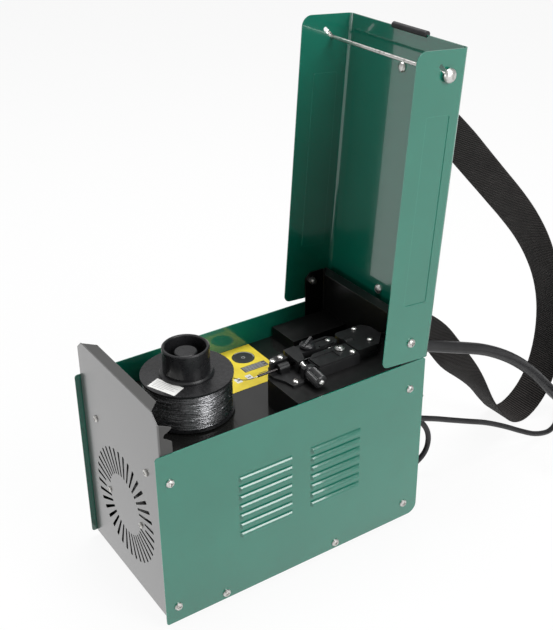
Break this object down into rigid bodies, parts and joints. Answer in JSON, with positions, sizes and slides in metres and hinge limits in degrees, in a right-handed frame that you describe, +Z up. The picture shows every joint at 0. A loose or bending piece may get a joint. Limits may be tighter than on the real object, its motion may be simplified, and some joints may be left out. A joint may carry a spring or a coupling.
{
  "type": "wire feeder",
  "caption": "Portable flux-cored wire welding machine with its lid open, showing the wire spool and the wire feeder on the deck.",
  "frame": {"origin": "on the floor under the middle of the open machine, cords left out", "axes": "+X towards the hinge and the cable end, -Y towards the louvred near side, +Z up"},
  "size_m": [0.8643, 0.3312, 0.5656],
  "materials": {
    "green_paint": "gloss",
    "black_paint": "semi-gloss",
    "black_plastic": "satin",
    "gloss_black": "gloss",
    "zinc": "bright zinc plate",
    "steel": "satin",
    "wire_steel": "drawn wire",
    "core_steel": "varnished laminations",
    "insulation": "varnished tape",
    "aluminium": "mill finish",
    "board": "laminate",
    "rubber": "matt",
    "webbing": "woven",
    "red_plastic": "gloss",
    "lamp": "clear",
    "brass": "satin"
  },
  "bodies": {
    "machine": {"base_tray": "black_paint", "rubber_feet": "rubber", "near_side_panel": "green_paint", "far_side_panel": "green_paint", "rear_panel": "black_paint", "front_panel": "black_paint", "deck_plate": "gloss_black", "drive_pedestal": "gloss_black", "side_step": "gloss_black", "case_screws": "zinc", "transformer_core": "core_steel", "transformer_coil": "insulation", "rectifier": "aluminium", "control_board": "board", "fan_motor": "black_plastic", "spool_spindle": "black_plastic", "feed_wire": "wire_steel", "feeder_body": "black_plastic", "feeder_screws": "zinc", "gearmotor": "steel", "inlet_tube": "steel", "outlet_clamp": "black_plastic", "torch_tail": "rubber", "torch_gland": "black_plastic", "earth_gland": "rubber", "mains_gland": "rubber", "indicator_lamps": "lamp", "hinge_screws": "zinc", "torch_hose": "rubber", "torch_coil": "rubber", "torch_handle": "black_plastic", "torch_neck": "brass", "earth_cable": "rubber", "earth_coil": "rubber", "clamp_lower_jaw": "zinc", "mains_cord": "rubber", "mains_coil": "rubber", "mains_plug": "rubber"},
    "lid": {"lid_shell": "green_paint", "strap_bolts": "zinc", "edge_grip": "rubber", "carry_strap": "webbing"},
    "latch": {"latch_rod": "zinc"},
    "spool": {"wire_spool": "black_plastic", "wire_winding": "wire_steel"},
    "cap": {"spool_cap": "black_plastic"},
    "fan": {"fan_rotor": "black_plastic"},
    "drive": {"drive_roller": "steel"},
    "arm": {"pressure_arm": "black_plastic"},
    "press": {"pressure_roller": "steel"},
    "plunger": {"tension_plunger": "steel"},
    "tension": {"tension_knob": "black_plastic"},
    "wing": {"thumb_wing": "black_plastic"},
    "speed_knob": {"wire_speed_knob": "black_plastic"},
    "power_switch": {"power_rocker": "red_plastic"},
    "current_switch": {"current_rocker": "black_plastic"},
    "trigger": {"torch_trigger": "red_plastic"},
    "jaw": {"clamp_upper_jaw": "zinc"}
  },
  "joints": [
    {"name": "lid_hinge", "type": "hinge", "parent": "machine", "child": "lid", "pos_m": [0.12752, 0, 0.249], "axis": [0, 1, 0], "range_deg": [-94.4, 0]},
    {"name": "latch_slide", "type": "slide", "parent": "lid", "child": "latch", "axis": [-0.7054, 0, 0.7088], "range_m": [0, 0.01333]},
    {"name": "spool_turn", "type": "hinge", "parent": "machine", "child": "spool", "pos_m": [-0.09238, 0.0093, 0.208], "axis": [0, 0, 1], "continuous": true},
    {"name": "cap_turn", "type": "hinge", "parent": "machine", "child": "cap", "pos_m": [-0.09238, 0.0093, 0.248], "axis": [0, 0, 1], "continuous": true},
    {"name": "fan_spin", "type": "hinge", "parent": "machine", "child": "fan", "pos_m": [-0.15678, 0.002, 0.1035], "axis": [1, 0, 0], "continuous": true},
    {"name": "drive_spin", "type": "hinge", "parent": "machine", "child": "drive", "pos_m": [0.07022, -0.04325, 0.222], "axis": [0, 0, 1], "continuous": true},
    {"name": "arm_open", "type": "hinge", "parent": "machine", "child": "arm", "pos_m": [0.04322, -0.02, 0.222], "axis": [0, 0, 1], "range_deg": [0, 10]},
    {"name": "press_spin", "type": "hinge", "parent": "arm", "child": "press", "pos_m": [0.07022, -0.02155, 0.222], "axis": [0, 0, 1], "continuous": true},
    {"name": "plunger_slide", "type": "slide", "parent": "machine", "child": "plunger", "axis": [0, -0.9903, -0.1392], "range_m": [0, 0.006]},
    {"name": "tension_turn", "type": "hinge", "parent": "machine", "child": "tension", "pos_m": [0.01822, -0.056, 0.234], "axis": [0, -0.9903, -0.1392], "range_deg": [-1080, 0]},
    {"name": "wing_turn", "type": "hinge", "parent": "machine", "child": "wing", "pos_m": [0.04322, -0.02, 0.236], "axis": [0, 0, 1], "range_deg": [-90, 90]},
    {"name": "speed_turn", "type": "hinge", "parent": "machine", "child": "speed_knob", "pos_m": [0.14652, 0.043, 0.164], "axis": [1, 0, 0], "range_deg": [0, 270]},
    {"name": "power_rock", "type": "hinge", "parent": "machine", "child": "power_switch", "pos_m": [0.14472, 0.028, 0.128], "axis": [0, 1, 0], "range_deg": [-16, 0]},
    {"name": "current_rock", "type": "hinge", "parent": "machine", "child": "current_switch", "pos_m": [0.14472, 0.058, 0.128], "axis": [0, 1, 0], "range_deg": [-16, 0]},
    {"name": "trigger_pull", "type": "hinge", "parent": "machine", "child": "trigger", "pos_m": [0.45239, -0.20467, 0.0573], "axis": [0, -1, 0], "range_deg": [-4, 0], "stiffness_Nm_per_rad": 0.5, "springref_deg": 2.86},
    {"name": "jaw_open", "type": "hinge", "parent": "machine", "child": "jaw", "pos_m": [0.6568, -0.1164, 0.009], "axis": [0, 0, 1], "range_deg": [-16, 0], "stiffness_Nm_per_rad": 2, "springref_deg": 11.46}
  ],
  "couplings": [
    {"joint": "press_spin", "follows": "drive_spin", "ratio": -1.0825},
    {"joint": "plunger_slide", "follows": "arm_open", "m_per_rad": 0.03}
  ]
}
